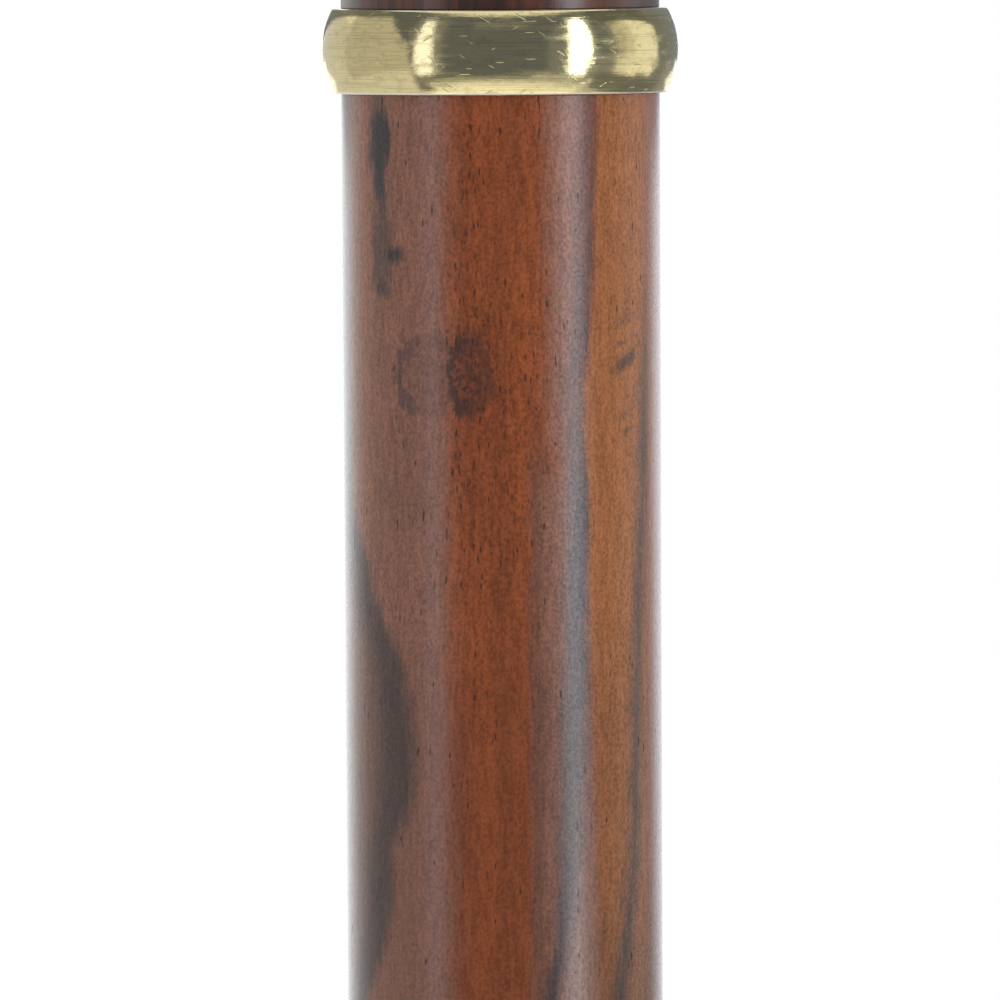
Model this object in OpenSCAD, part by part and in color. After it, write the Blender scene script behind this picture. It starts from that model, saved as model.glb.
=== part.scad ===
// Knob-headed hardwood walking stick: a tapered shaft and a turned knob that are joined
// by a steel stud inside a domed brass collar, with a rubber ferrule pushed on the tip.
// Millimetres. The axis is Z, and the sole of the ferrule stands on Z = 0.

/* [Shaft] */
// Length of the shaft from its tip to the shoulder under the collar
shaft_len = 832.5; // [600:0.5:900]
// Diameter of the shaft, and of the knob's neck, beside the collar
shaft_top_d = 20; // [18:0.1:24]
// Diameter of the shaft at its tip
shaft_tip_d = 16.4; // [14:0.1:17.9]
// Bevel round the end of the tip
tip_bevel = 0.8; // [0.3:0.1:1.5]
// Width of the shoulders that the collar rests between
shoulder_w = 1.2; // [0.8:0.05:2]
// Bevel that eases the edges of both shoulders
shoulder_ease = 0.05; // [0.02:0.01:0.3]

/* [Knob] */
// Largest diameter of the knob
knob_d = 46; // [44:0.5:58]
// Straight length of the neck above the collar
neck_len = 3; // [1:0.5:12]
// Radius of the hollow between the neck and the bulb
cove_r = 70; // [30:1:120]
// Radius of the bulb's side, seen in outline
bulb_side_r = 19; // [16:0.5:22]
// Radius of the bulb's crown
crown_r = 30; // [26:0.5:60]

/* [Collar] */
// How far the collar stands out from the wood beside it
collar_proud = 1.2; // [0.9:0.05:2.5]
// Height of the collar
collar_h = 5.35; // [4:0.05:7.5]
// Radius of the domed face, seen in outline
collar_dome_r = 5.45; // [4.6:0.05:9]
// Radius that rounds the dome into the collar's ends
collar_rim_r = 0.25; // [0.1:0.05:1]

/* [Stud] */
// Diameter of the joining stud
stud_d = 8; // [5:0.5:12]
// Length of the stud in the shaft, from the middle of the collar
stud_in_shaft = 44; // [20:1:70]
// Length of the stud in the knob, from the middle of the collar
stud_in_knob = 36; // [15:1:45]
// Bevel on both ends of the stud
stud_bevel = 0.8; // [0.2:0.1:1.5]

/* [Ferrule] */
// Overall height of the ferrule
ferrule_h = 44; // [34:0.5:60]
// Diameter of the foot of the ferrule
foot_d = 31; // [28:0.5:40]
// Height of the upright side of the foot
foot_h = 6; // [4:0.5:9]
// Radius on the lower edge of the foot
foot_edge_r = 1.4; // [0.5:0.1:2]
// Thickness of the rubber under the washer
sole_t = 6; // [4:0.5:8]
// Thickness of the rubber sleeve at its mouth
sleeve_wall = 2.6; // [2:0.1:4]
// Radius of the hollow between the foot and the sleeve
flare_r = 16; // [12:0.5:19]
// How much thicker the sleeve is at the flare than at its mouth
sleeve_swell = 0.7; // [0.1:0.1:1.5]
// Section radius of the bead round the mouth
bead_r = 1.8; // [1.2:0.1:2.4]
// How far the bead stands out of the sleeve
bead_proud = 0.9; // [0.3:0.1:1.1]
// Number of grip grooves round the sleeve
grip_count = 3; // [0:1:3]
// Height of each grip groove
grip_h = 1.2; // [0.6:0.1:2]
// Depth of each grip groove
grip_depth = 0.6; // [0.2:0.1:1]
// Distance from one grip groove to the next
grip_pitch = 3.6; // [2.6:0.1:4]
// Number of tread rings cut in the sole
tread_count = 3; // [0:1:3]
// Width of each tread ring
tread_w = 1.8; // [0.8:0.1:2.2]
// Depth of each tread ring
tread_depth = 1.6; // [0.5:0.1:2.5]
// Distance from one tread ring to the next
tread_pitch = 3.4; // [2.8:0.1:3.6]
// Radius to the middle of the outermost tread ring
tread_outer_r = 11.8; // [10.5:0.1:12]
// Bevel that leads the shaft into the mouth
mouth_bevel = 0.8; // [0.2:0.1:1.2]

/* [Washer] */
// Diameter of the steel washer under the tip
washer_d = 15.6; // [12:0.1:16]
// Thickness of the washer
washer_t = 1.5; // [0.8:0.1:3]
// Bevel on both edges of the washer
washer_bevel = 0.25; // [0.1:0.05:0.35]

/* [Fits] */
// Glue gap between the spigots and the collar's bore, on the radius
collar_gap = 0.1; // [0.05:0.01:0.3]
// Glue gap between the ends of the two spigots
joint_gap = 0.2; // [0.05:0.05:0.6]
// Glue gap round the stud, on the radius
stud_gap = 0.1; // [0.05:0.01:0.3]
// Room for glue beyond each end of the stud
stud_end_gap = 0.8; // [0.2:0.1:3]
// Gap between the tapered tip and the ferrule's bore, on the radius
ferrule_gap = 0.04; // [0.02:0.01:0.1]
// Gap round the washer, on the radius
washer_gap = 0.1; // [0.05:0.05:0.3]

/* [Hidden] */
$fn = 96;
past = 1; // how far a cutting shape runs past the face that it cuts

// Heights, from the sole up
washer_z = sole_t;
tip_z = washer_z + washer_t;
shoulder_z = tip_z + shaft_len;
knob_z = shoulder_z + collar_h;
joint_z = (shoulder_z + knob_z) / 2;

// Radii at the joint, from the wood's outside in
neck_r = shaft_top_d / 2;
collar_r = neck_r + collar_proud;
collar_bore_r = neck_r - shoulder_w;
spigot_r = collar_bore_r - collar_gap;
spigot_h = (collar_h - joint_gap) / 2;
stud_bore_d = stud_d + 2 * stud_gap;

// Radius of the shaft's taper at a height
function taper_r(z) =
    (shaft_tip_d + (shaft_top_d - shaft_tip_d) * (z - tip_z) / shaft_len) / 2;

// Knob outline: neck, hollow, side and crown, each arc tangent to the next one.
// Heights are above the top of the collar.
side_x = knob_d / 2 - bulb_side_r;
cove_x = neck_r + cove_r;
side_h = neck_len + sqrt(pow(cove_r + bulb_side_r, 2) - pow(cove_x - side_x, 2));
crown_h = side_h - sqrt(pow(crown_r - bulb_side_r, 2) - pow(side_x, 2));
cove_end_h = neck_len + (side_h - neck_len) * cove_r / (cove_r + bulb_side_r);
side_end_h = crown_h + (side_h - crown_h) * crown_r / (crown_r - bulb_side_r);
knob_h = crown_h + crown_r;

// Collar outline: a domed face between two small rounded rims, with heights from its middle
dome_x = collar_r - collar_dome_r;
rim_h = collar_h / 2 - collar_rim_r;
rim_x = dome_x + sqrt(pow(collar_dome_r - collar_rim_r, 2) - pow(rim_h, 2));
dome_end_h = rim_h * collar_dome_r / (collar_dome_r - collar_rim_r);

// Ferrule outline: foot, hollow flare, sleeve and bead
bore_mouth_r = taper_r(ferrule_h) + ferrule_gap;
sleeve_top_r = bore_mouth_r + sleeve_wall;
sleeve_low_r = sleeve_top_r + sleeve_swell;
flare_x = sleeve_low_r + flare_r;
flare_end_h = foot_h + sqrt(pow(flare_r, 2) - pow(flare_x - foot_d / 2, 2));
bead_h = ferrule_h - bead_r;
bead_x = sleeve_top_r + bead_proud - bead_r;

// Outline between the axis and an outward arc, from height low to height high
module bulging_band(centre_x, centre_h, radius, low, high) {
    intersection() {
        translate([0, low]) square([centre_x + radius + past, high - low]);
        union() {
            translate([centre_x, centre_h]) circle(radius);
            if (centre_x > 0) translate([0, low]) square([centre_x, high - low]);
        }
    }
}

// Outline between the axis and an inward arc, from height low to height high
module hollow_band(centre_x, centre_h, radius, low, high) {
    difference() {
        translate([0, low]) square([centre_x, high - low]);
        translate([centre_x, centre_h]) circle(radius);
    }
}

// Round bar along Z with a bevel on both ends
module bevelled_bar(d, length, bevel) {
    r = d / 2;
    rotate_extrude()
        polygon([
            [0, 0],
            [r - bevel, 0],
            [r, bevel],
            [r, length - bevel],
            [r - bevel, length],
            [0, length]
        ]);
}

// Ring-shaped cut of square section, centred on its mid height
module ring_cut(inner_r, outer_r, height) {
    rotate_extrude()
        translate([inner_r, -height / 2]) square([outer_r - inner_r, height]);
}

// Outside of the knob: a spigot that fills the collar, a shoulder, a neck and a bulb
module knob_outline() {
    polygon([
        [0, -spigot_h],
        [spigot_r, -spigot_h],
        [spigot_r, 0],
        [neck_r - shoulder_ease, 0],
        [neck_r, shoulder_ease],
        [neck_r, neck_len],
        [0, neck_len]
    ]);
    hollow_band(cove_x, neck_len, cove_r, neck_len, cove_end_h);
    bulging_band(side_x, side_h, bulb_side_r, cove_end_h, side_end_h);
    bulging_band(0, crown_h, crown_r, side_end_h, knob_h);
}

// Turned hardwood head with a blind bore for the stud
module knob() {
    color("#4a2a1f")
        translate([0, 0, knob_z])
            difference() {
                rotate_extrude() knob_outline();
                translate([0, 0, joint_z - knob_z - past])
                    cylinder(d = stud_bore_d, h = past + stud_in_knob + stud_end_gap);
            }
}

// Turned brass ring that covers the joint and rests on both shoulders
module collar() {
    color("#b9a263")
        translate([0, 0, joint_z])
            difference() {
                rotate_extrude() {
                    bulging_band(rim_x, -rim_h, collar_rim_r, -collar_h / 2, -rim_h);
                    bulging_band(dome_x, 0, collar_dome_r, -dome_end_h, dome_end_h);
                    bulging_band(rim_x, rim_h, collar_rim_r, rim_h, collar_h / 2);
                }
                translate([0, 0, -collar_h / 2 - past])
                    cylinder(r = collar_bore_r, h = collar_h + 2 * past);
            }
}

// Steel stud that is glued into the shaft and the knob
module joining_stud() {
    color("silver")
        translate([0, 0, joint_z - stud_in_shaft])
            bevelled_bar(stud_d, stud_in_shaft + stud_in_knob, stud_bevel);
}

// Outside of the shaft: a bevelled tip, the taper, a shoulder and a spigot
module shaft_outline() {
    polygon([
        [0, tip_z],
        [taper_r(tip_z) - tip_bevel, tip_z],
        [taper_r(tip_z + tip_bevel), tip_z + tip_bevel],
        [taper_r(shoulder_z - shoulder_ease), shoulder_z - shoulder_ease],
        [neck_r - shoulder_ease, shoulder_z],
        [spigot_r, shoulder_z],
        [spigot_r, shoulder_z + spigot_h],
        [0, shoulder_z + spigot_h]
    ]);
}

// Tapered hardwood shaft with a blind bore for the stud
module shaft() {
    color("#7b4427")
        difference() {
            rotate_extrude() shaft_outline();
            translate([0, 0, joint_z - stud_in_shaft - stud_end_gap])
                cylinder(d = stud_bore_d, h = stud_in_shaft + stud_end_gap + past);
        }
}

// Outside of the ferrule: a foot with a rounded lower edge, a flare and a sleeve with a bead
module ferrule_outline() {
    bulging_band(foot_d / 2 - foot_edge_r, foot_edge_r, foot_edge_r, 0, foot_edge_r);
    translate([0, foot_edge_r]) square([foot_d / 2, foot_h - foot_edge_r]);
    hollow_band(flare_x, flare_end_h, flare_r, foot_h, flare_end_h);
    polygon([
        [0, flare_end_h],
        [sleeve_low_r, flare_end_h],
        [sleeve_top_r, bead_h],
        [0, bead_h]
    ]);
    bulging_band(bead_x, bead_h, bead_r, bead_h - bead_r, ferrule_h);
}

// Push-on rubber ferrule with grip grooves, a ringed sole and a tapered blind bore
module ferrule() {
    grip_top_h = bead_h - bead_r - grip_pitch;
    grip_reach = sleeve_low_r + past;
    color("#22201f")
        difference() {
            rotate_extrude() ferrule_outline();
            translate([0, 0, tip_z])
                cylinder(r1 = taper_r(tip_z) + ferrule_gap, r2 = bore_mouth_r, h = ferrule_h - tip_z);
            translate([0, 0, ferrule_h - mouth_bevel])
                cylinder(r1 = bore_mouth_r, r2 = bore_mouth_r + mouth_bevel, h = mouth_bevel);
            translate([0, 0, washer_z])
                cylinder(d = washer_d + 2 * washer_gap, h = washer_t + past);
            for (i = [0 : 1 : grip_count - 1])
                translate([0, 0, grip_top_h - i * grip_pitch])
                    ring_cut(sleeve_top_r - grip_depth, grip_reach, grip_h);
            for (i = [0 : 1 : tread_count - 1])
                ring_cut(
                    tread_outer_r - i * tread_pitch - tread_w / 2,
                    tread_outer_r - i * tread_pitch + tread_w / 2,
                    2 * tread_depth
                );
        }
}

// Steel disc that keeps the tip from punching through the rubber
module ferrule_washer() {
    color("lightgray")
        translate([0, 0, washer_z]) bevelled_bar(washer_d, washer_t, washer_bevel);
}

knob();
collar();
joining_stud();
shaft();
ferrule();
ferrule_washer();
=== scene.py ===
import math
from collections import namedtuple

import bpy
import numpy as np
from mathutils import Matrix, Vector


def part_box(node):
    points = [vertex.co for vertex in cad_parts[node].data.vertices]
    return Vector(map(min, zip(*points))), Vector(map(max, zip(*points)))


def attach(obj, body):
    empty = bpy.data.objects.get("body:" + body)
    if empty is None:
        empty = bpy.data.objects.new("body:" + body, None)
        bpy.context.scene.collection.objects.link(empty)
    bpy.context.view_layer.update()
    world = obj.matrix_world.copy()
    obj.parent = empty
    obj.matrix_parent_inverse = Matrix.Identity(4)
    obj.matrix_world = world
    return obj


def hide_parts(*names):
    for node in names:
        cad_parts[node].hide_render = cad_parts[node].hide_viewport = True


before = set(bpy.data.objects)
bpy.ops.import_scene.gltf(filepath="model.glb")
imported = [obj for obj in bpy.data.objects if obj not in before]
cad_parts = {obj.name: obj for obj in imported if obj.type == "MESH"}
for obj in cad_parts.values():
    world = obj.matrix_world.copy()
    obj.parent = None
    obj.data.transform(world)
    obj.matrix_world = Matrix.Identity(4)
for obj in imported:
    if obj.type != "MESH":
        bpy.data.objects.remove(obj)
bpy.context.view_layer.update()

bl_info = {
    "name": "Knob-headed walking stick",
    "version": (1, 0, 0),
    "blender": (4, 5, 0),
    "location": "View3D > Sidebar > Walking stick",
    "description": "Dresses the solids of a turned hardwood stick with brass, rubber and lacquered wood",
    "category": "Add Mesh",
}

BODY = "root"
MM = 0.001
MM_PER_METRE = 1000.0
DEGREES_PER_RADIAN = 180.0 / math.pi
SMOOTH_BELOW = math.radians(32)
SAME_POINT = 1e-9
FLOOR_SIDES = 96
CARD_ROWS = 25
CARD_COLUMNS = 33

# Share of the thread's pitch that is flat at its crest, and as much at its root
THREAD_FLAT = 1.0 / 6.0

# Refractive index of the clear lacquer, and the weak gloss of the wood under it
LACQUER_IOR = 1.5
WOOD_SPECULAR = 0.25

# Places that the solids give, in metres
SHAFT_LOW, SHAFT_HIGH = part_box("shaft")
KNOB_LOW, KNOB_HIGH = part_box("knob")
COLLAR_LOW, COLLAR_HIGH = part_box("collar")
STUD_LOW, STUD_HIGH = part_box("joining_stud")
_, FERRULE_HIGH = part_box("ferrule")
WASHER_LOW, WASHER_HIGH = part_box("ferrule_washer")
TIP_Z = SHAFT_LOW.z
SHOULDER_Z = COLLAR_LOW.z
KNOB_Z = COLLAR_HIGH.z
COLLAR_MID_Z = (SHOULDER_Z + KNOB_Z) / 2

# Half the collar's height, and how far from its two ends the pale edges, a painted reflection, start and are
# full, in millimetres
COLLAR_HALF_HEIGHT = (KNOB_Z - SHOULDER_Z) / 2 * MM_PER_METRE
PALE_EDGE_START = 0.2
PALE_EDGE_FULL = 0.06

# The photographed stretch of the shaft, in millimetres below the collar and degrees from the front,
# and where it gives way to a free figure at its low end and at its sides
FIGURE_LENGTH = 64.0
FIGURE_END = (56.0, 68.0)
FIGURE_SIDES = (80.0, 98.0)

# Where the wood turns darker on the way down, and where it turns greyer beside the stripe, a grey that is
# partly painted reflection haze
DARK_STRETCH = (31.0, 41.0)
GREY_STRETCH = (20.0, 26.0)

# A ramp's stops hold levels from 0 to 1, so values from -100 to 100 are scaled by their span
VALUE_SPAN = 200.0

# Unevenness in degrees of the edge that the stripe and the amber side share
SHARED_EDGE_WILD = 3.6

# Middle of the flush knot, in millimetres below the collar
KNOT_DOWN = 17.5

# Pith of the log that the knob was cut from, in millimetres from the knob's axis
PITH_X = 46.0
PITH_Y = -31.0

# Half size of a scratch on the brass, as a share of its cell
SCRATCH_REACH = 0.26

# Courses of the marks on the photographed stretch: stops of (millimetres below the collar, value), where
# a middle, an edge, a width or a softness is in degrees, and a depth or a tone goes from 0 to 1
STREAK_MIDDLE = ((0, -49.5), (4, -50), (8, -48.8), (13, -48.4))
STREAK_HALF_WIDTH = ((0, 3), (2.6, 5.2), (4.8, 4.8), (6.8, 3.8), (9, 4.6), (11.6, 4.2), (13, -2))
LEFT_BAND_EDGE = (
    (25, -72), (29, -59), (32, -52), (35, -40), (38, -36), (43, -34.5), (45.5, -39),
    (47, -43), (50.5, -45), (52.5, -47.5), (54.2, -52.5), (56.5, -59), (60, -63),
)
STRIPE_EDGE = (
    (0, 37), (2.3, 36.8), (8.6, 35.4), (13.6, 34), (19.2, 31), (24, 32), (28, 32.2), (42, 30.5), (47, 29),
    (51, 26.6), (55, 21.6), (60, 18),
)
STRIPE_SOFTNESS = ((0, 1.2), (26, 1.4), (36, 3), (42, 5), (50, 5.6), (54, 3.4), (57, 2.2))
STRIPE_WIDTH = ((0, 12.6), (16, 12), (24, 11.4), (30, 12.5), (42, 14), (47, 12.6), (51, 10), (55, 8), (60, 8))
STRIPE_DEPTH = (
    (0, 0.5), (9, 0.6), (14, 0.7), (19, 0.6), (24, 0.74), (28, 0.8), (42, 0.74), (51, 0.8), (56, 0.86),
)
AMBER_EDGE = (
    (0, 37), (2.3, 36.8), (8.6, 35.4), (13.6, 34), (19.2, 31), (28, 32), (36, 32.6), (42, 34), (55, 36),
)
AMBER_TONE = ((0, 1), (28, 1), (42, 0.92), (48, 0.9), (51, 0.8), (55, 0.66), (60, 0.6))
THIN_LINE_MIDDLE = (
    (10, 64.9), (19, 62.9), (24, 61.8), (28, 59.7), (42, 56.1), (47, 55.5), (50.6, 52.7), (55, 48.5),
    (60, 43.9),
)

# Small blots: centre and half size in degrees and millimetres below the collar, depth, lean
LEFT_BLOTS = (
    ((-43.2, 10.0), (4.4, 0.6), 0.95, 0.0),
    ((-48.5, 12.1), (4.6, 0.5), 0.75, 0.0),
)
AMBER_BLOTS = (
    ((51.4, 16.7), (4.2, 0.62), 0.75, 1.0),
    ((47.7, 15.6), (2.2, 0.22), 0.5, 0.0),
    ((51.0, 14.1), (4.5, 0.45), 0.3, 0.6),
    ((52.2, 21.0), (2.4, 0.26), 0.5, 0.6),
    ((51.0, 20.0), (3.6, 0.3), 0.25, 0.6),
)


def colour(red, green, blue):
    """Linear RGBA of a display colour that is given in 8-bit steps."""
    display = np.array([red, green, blue]) / 255.0
    linear = np.where(display <= 0.04045, display / 12.92, ((display + 0.055) / 1.055) ** 2.4)
    return (*linear.tolist(), 1.0)


def length_property(name, description, default):
    """A length in metres, shown in the scene's units."""
    return bpy.props.FloatProperty(
        name=name, description=description, default=default, min=0.0, unit="LENGTH", precision=5
    )


def colour_property(name, description, red, green, blue):
    """A colour, with its default given in 8-bit display steps."""
    return bpy.props.FloatVectorProperty(
        name=name,
        description=description,
        default=colour(red, green, blue),
        size=4,
        min=0.0,
        max=1.0,
        subtype="COLOR",
    )


def level_property(name, description, default):
    """A plain number such as a roughness or a light level."""
    return bpy.props.FloatProperty(name=name, description=description, default=default, min=0.0)


def angle_property(name, description, degrees):
    """An angle, with its default given in degrees."""
    return bpy.props.FloatProperty(
        name=name, description=description, default=math.radians(degrees), subtype="ANGLE"
    )


class StickSizes(bpy.types.PropertyGroup):
    """Sizes of the turned and moulded outlines that the solids' boxes don't give"""

    tip_radius: length_property("Tip radius", "Radius of the shaft at its tip", 8.2 * MM)
    tip_bevel: length_property("Tip bevel", "Bevel round the end of the tip", 0.8 * MM)
    shoulder_ease: length_property("Shoulder ease", "Bevel on both shoulders", 0.05 * MM)
    spigot_radius: length_property("Spigot radius", "Radius of both spigots", 8.7 * MM)
    stud_bore_radius: length_property("Stud bore", "Radius of the bores for the stud", 4.1 * MM)
    stud_end_gap: length_property("Stud end gap", "Room beyond each end of the stud", 0.8 * MM)
    neck_length: length_property("Neck length", "Straight neck above the collar", 3.0 * MM)
    cove_radius: length_property("Cove radius", "Hollow between neck and bulb", 70.0 * MM)
    side_radius: length_property("Side radius", "Round of the bulb's side", 19.0 * MM)
    crown_radius: length_property("Crown radius", "Round of the bulb's crown", 30.0 * MM)
    dome_radius: length_property("Dome radius", "Round of the collar's face", 5.45 * MM)
    rim_radius: length_property("Rim radius", "Round of the collar's rims", 0.25 * MM)
    collar_bore_radius: length_property("Collar bore", "Radius of the collar's bore", 8.8 * MM)
    thread_pitch: length_property("Thread pitch", "Pitch of the stud's thread", 1.25 * MM)
    thread_depth: length_property("Thread depth", "Depth of the stud's thread", 0.7 * MM)
    stud_bevel: length_property("Stud bevel", "Bevel on the stud's ends", 0.8 * MM)
    foot_height: length_property("Foot height", "Upright side of the ferrule's foot", 6.0 * MM)
    foot_edge_radius: length_property("Foot edge", "Round of the foot's lower edge", 1.4 * MM)
    flare_radius: length_property("Flare radius", "Hollow between foot and sleeve", 16.0 * MM)
    sleeve_wall: length_property("Sleeve wall", "Rubber at the ferrule's mouth", 2.6 * MM)
    sleeve_swell: length_property("Sleeve swell", "Extra rubber at the flare", 0.7 * MM)
    bore_gap: length_property("Bore gap", "Gap between tip and ferrule", 0.04 * MM)
    bead_radius: length_property("Bead radius", "Round of the bead at the mouth", 1.8 * MM)
    bead_proud: length_property("Bead stand-out", "How far the bead stands out", 0.9 * MM)
    mouth_bevel: length_property("Mouth bevel", "Bevel inside the mouth", 0.8 * MM)
    grip_height: length_property("Grip height", "Height of a grip groove", 1.2 * MM)
    grip_depth: length_property("Grip depth", "Depth of a grip groove", 0.6 * MM)
    grip_pitch: length_property("Grip pitch", "From one grip groove to the next", 3.6 * MM)
    grip_count: bpy.props.IntProperty(
        name="Grip grooves", description="Grooves round the sleeve", default=3, min=0, max=3
    )
    tread_radius: length_property("Tread radius", "Middle of the outer tread ring", 11.8 * MM)
    tread_width: length_property("Tread width", "Width of a tread ring", 1.8 * MM)
    tread_depth: length_property("Tread depth", "Depth of a tread ring", 1.6 * MM)
    tread_pitch: length_property("Tread pitch", "From one tread ring to the next", 3.4 * MM)
    tread_count: bpy.props.IntProperty(
        name="Tread rings", description="Rings in the sole", default=3, min=0, max=3
    )
    edge_ease: length_property("Edge ease", "Bevel on the rubber's moulded edges", 0.15 * MM)
    washer_gap: length_property("Washer gap", "Gap round the washer", 0.1 * MM)
    washer_bevel: length_property("Washer bevel", "Bevel on the washer's edges", 0.25 * MM)


class StickFinish(bpy.types.PropertyGroup):
    """Colours and surface values of the finishes"""

    heartwood: colour_property("Heartwood", "Orange-brown ground of the shaft", 136, 63, 10)
    russet: colour_property("Russet", "Darker bands in the ground", 122, 56, 11)
    amber: colour_property("Amber", "Orange sapwood side", 142, 80, 29)
    # Mauve greys the shaft where the lacquer shows broad reflections: it is partly painted reflection haze,
    # and it also paints the sheen at the sides
    mauve_wood_and_haze: colour_property("Mauve", "Greyer wood on the left", 122, 77, 57)
    ink: colour_property("Ink", "Blue-black streaks", 24, 25, 29)
    pore: colour_property("Pore", "Open pores and dark fibres", 56, 28, 16)
    knot: colour_property("Knot", "Flush knot and its ring", 56, 36, 32)
    knob_ground: colour_property("Knob ground", "Darker ground of the knob", 52, 32, 27)
    lacquer_roughness: level_property("Lacquer roughness", "Gloss of the clear coat", 0.265)
    wood_roughness: level_property("Wood roughness", "Gloss under the clear coat", 0.32)
    brass: colour_property("Brass", "Polished brass", 229, 214, 160)
    tarnish: colour_property("Tarnish", "Dull brass in scratches and corners", 150, 141, 104)
    # Pale edge: the collar's rims painted paler, a painted reflection of the bright floor below, strongest on
    # the lower rim
    pale_edge_glint: colour_property("Bare edge", "Pale edges of the collar", 250, 246, 230)
    brass_roughness: level_property("Brass roughness", "Gloss of the polished brass", 0.05)
    steel: colour_property("Steel", "Bright zinc on steel", 196, 197, 200)
    steel_shade: colour_property("Steel shade", "Dull patches in the zinc", 150, 150, 152)
    rubber: colour_property("Rubber", "Moulded rubber", 34, 32, 31)
    rubber_dust: colour_property("Rubber dust", "Scuffed and dusty rubber", 92, 88, 82)


class StageSetup(bpy.types.PropertyGroup):
    """Camera, floor and studio light"""

    view_width: length_property("View width", "Width of the photographed field", 62.75 * MM)
    view_drop: length_property("View drop", "Middle of the view below the collar", 28.25 * MM)
    view_shift: length_property("View shift", "Middle of the view left of the axis", 0.17 * MM)
    focal_length: level_property("Focal length", "Long lens, in millimetres", 1000.0)
    camera_rise: angle_property("Camera rise", "Height of the camera over the collar", 0.9)
    camera_roll: angle_property("Camera roll", "Turn of the camera about its view", -0.31)
    fill_level: level_property("Fill level", "Light from all round on matt surfaces", 0.84)
    card_distance: length_property("Card distance", "From the collar to the studio cards", 0.8)
    floor_radius: length_property("Floor radius", "Radius of the floor", 12.0)
    floor: colour_property("Floor", "Pale floor", 240, 240, 240)


class Socket:
    """An output socket whose operators add Math nodes, so that shader maths reads as arithmetic."""

    def __init__(self, paint, output):
        self.paint = paint
        self.output = output

    def math(self, operation, first, second):
        """One Math node on two values or sockets."""
        return self.paint.node("ShaderNodeMath", {"operation": operation}, {0: first, 1: second})

    def __add__(self, other):
        return self.math("ADD", self, other)

    def __radd__(self, other):
        return self.math("ADD", other, self)

    def __sub__(self, other):
        return self.math("SUBTRACT", self, other)

    def __rsub__(self, other):
        return self.math("SUBTRACT", other, self)

    def __mul__(self, other):
        return self.math("MULTIPLY", self, other)

    def __rmul__(self, other):
        return self.math("MULTIPLY", other, self)

    def __truediv__(self, other):
        return self.math("DIVIDE", self, other)

    def __pow__(self, other):
        return self.math("POWER", self, other)

    def __abs__(self):
        return self.math("ABSOLUTE", self, 0.0)

    def or_more(self, other):
        """The greater of two values at each point."""
        return self.math("MAXIMUM", self, other)


class Paint:
    """Node tree of a material or of the world, with one method that adds any node."""

    def __init__(self, tree):
        self.tree = tree
        tree.nodes.clear()

    def node(self, kind, settings=None, inputs=None, output=0):
        """Adds a node, sets its settings, then its sockets' values or links, and gives one output."""
        made = self.tree.nodes.new(kind)
        for name, value in (settings or {}).items():
            if name == "stops":
                self.set_stops(made.color_ramp, value)
            else:
                setattr(made, name, value)
        for key, value in (inputs or {}).items():
            if isinstance(value, Socket):
                self.tree.links.new(value.output, made.inputs[key])
            else:
                made.inputs[key].default_value = value
        return Socket(self, made.outputs[output]) if made.outputs else None

    @staticmethod
    def set_stops(color_ramp, stops):
        """Gives a ramp its stops, each a position and a grey level."""
        color_ramp.interpolation = "CARDINAL"
        color_ramp.elements.remove(color_ramp.elements[1])
        color_ramp.elements[0].position = stops[0][0]
        color_ramp.elements[0].color = (stops[0][1], stops[0][1], stops[0][1], 1.0)
        for position, level in stops[1:]:
            color_ramp.elements.new(position).color = (level, level, level, 1.0)

    def ramp(self, value, low, high):
        """0 below low and 1 above high, with a smooth rise between them."""
        return self.node(
            "ShaderNodeMapRange",
            {"interpolation_type": "SMOOTHSTEP"},
            {0: value, 1: low, 2: high, 3: 0.0, 4: 1.0},
        )

    def mix(self, factor, first, second, blend="MIX"):
        """Colour mix from first to second by a factor."""
        settings = {"data_type": "RGBA", "blend_type": blend, "clamp_factor": True}
        return self.node("ShaderNodeMix", settings, {0: factor, 6: first, 7: second}, 2)

    def vector(self, x, y, z):
        """A vector, or a grey colour, from three values."""
        return self.node("ShaderNodeCombineXYZ", None, {0: x, 1: y, 2: z})

    def noise(self, place, detail=2.0, roughness=0.5):
        """Noise between about 0 and 1 at a place that is already scaled."""
        return self.node(
            "ShaderNodeTexNoise",
            {"noise_dimensions": "3D"},
            {"Vector": place, "Scale": 1.0, "Detail": detail, "Roughness": roughness},
        )

    def cells(self, place, output=0):
        """Voronoi cells at a place that is already scaled: the nearest distance, or the cell's colour."""
        settings = {"feature": "F1"}
        return self.node("ShaderNodeTexVoronoi", settings, {"Vector": place, "Scale": 1.0}, output)

    def dashes(self, place, reach, share):
        """Marks in a share of the cells at a place.

        Each has its own half size, from 0.45 to 1.2 of reach, and its own depth, from 0.6 to 1.
        """
        near = self.cells(place)
        lots = self.cells(place, output=1)
        pick, size, depth = (self.node("ShaderNodeSeparateColor", None, {0: lots}, lot) for lot in range(3))
        far = reach * (0.45 + size * 0.75)
        inside = 1.0 - self.ramp(near, far * 0.4, far)
        return inside * self.ramp(pick + share, 0.98, 1.02) * (0.6 + depth * 0.4)

    def bump(self, height, depth, strength):
        """Normal of a surface that rises by depth metres where height goes from 0 to 1."""
        return self.node(
            "ShaderNodeBump", None, {"Strength": strength, "Distance": depth, "Height": height}
        )

    def surface(self, inputs):
        """Closes a material with a Principled shader."""
        shader = self.node("ShaderNodeBsdfPrincipled", None, inputs)
        self.node("ShaderNodeOutputMaterial", None, {"Surface": shader})


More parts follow.
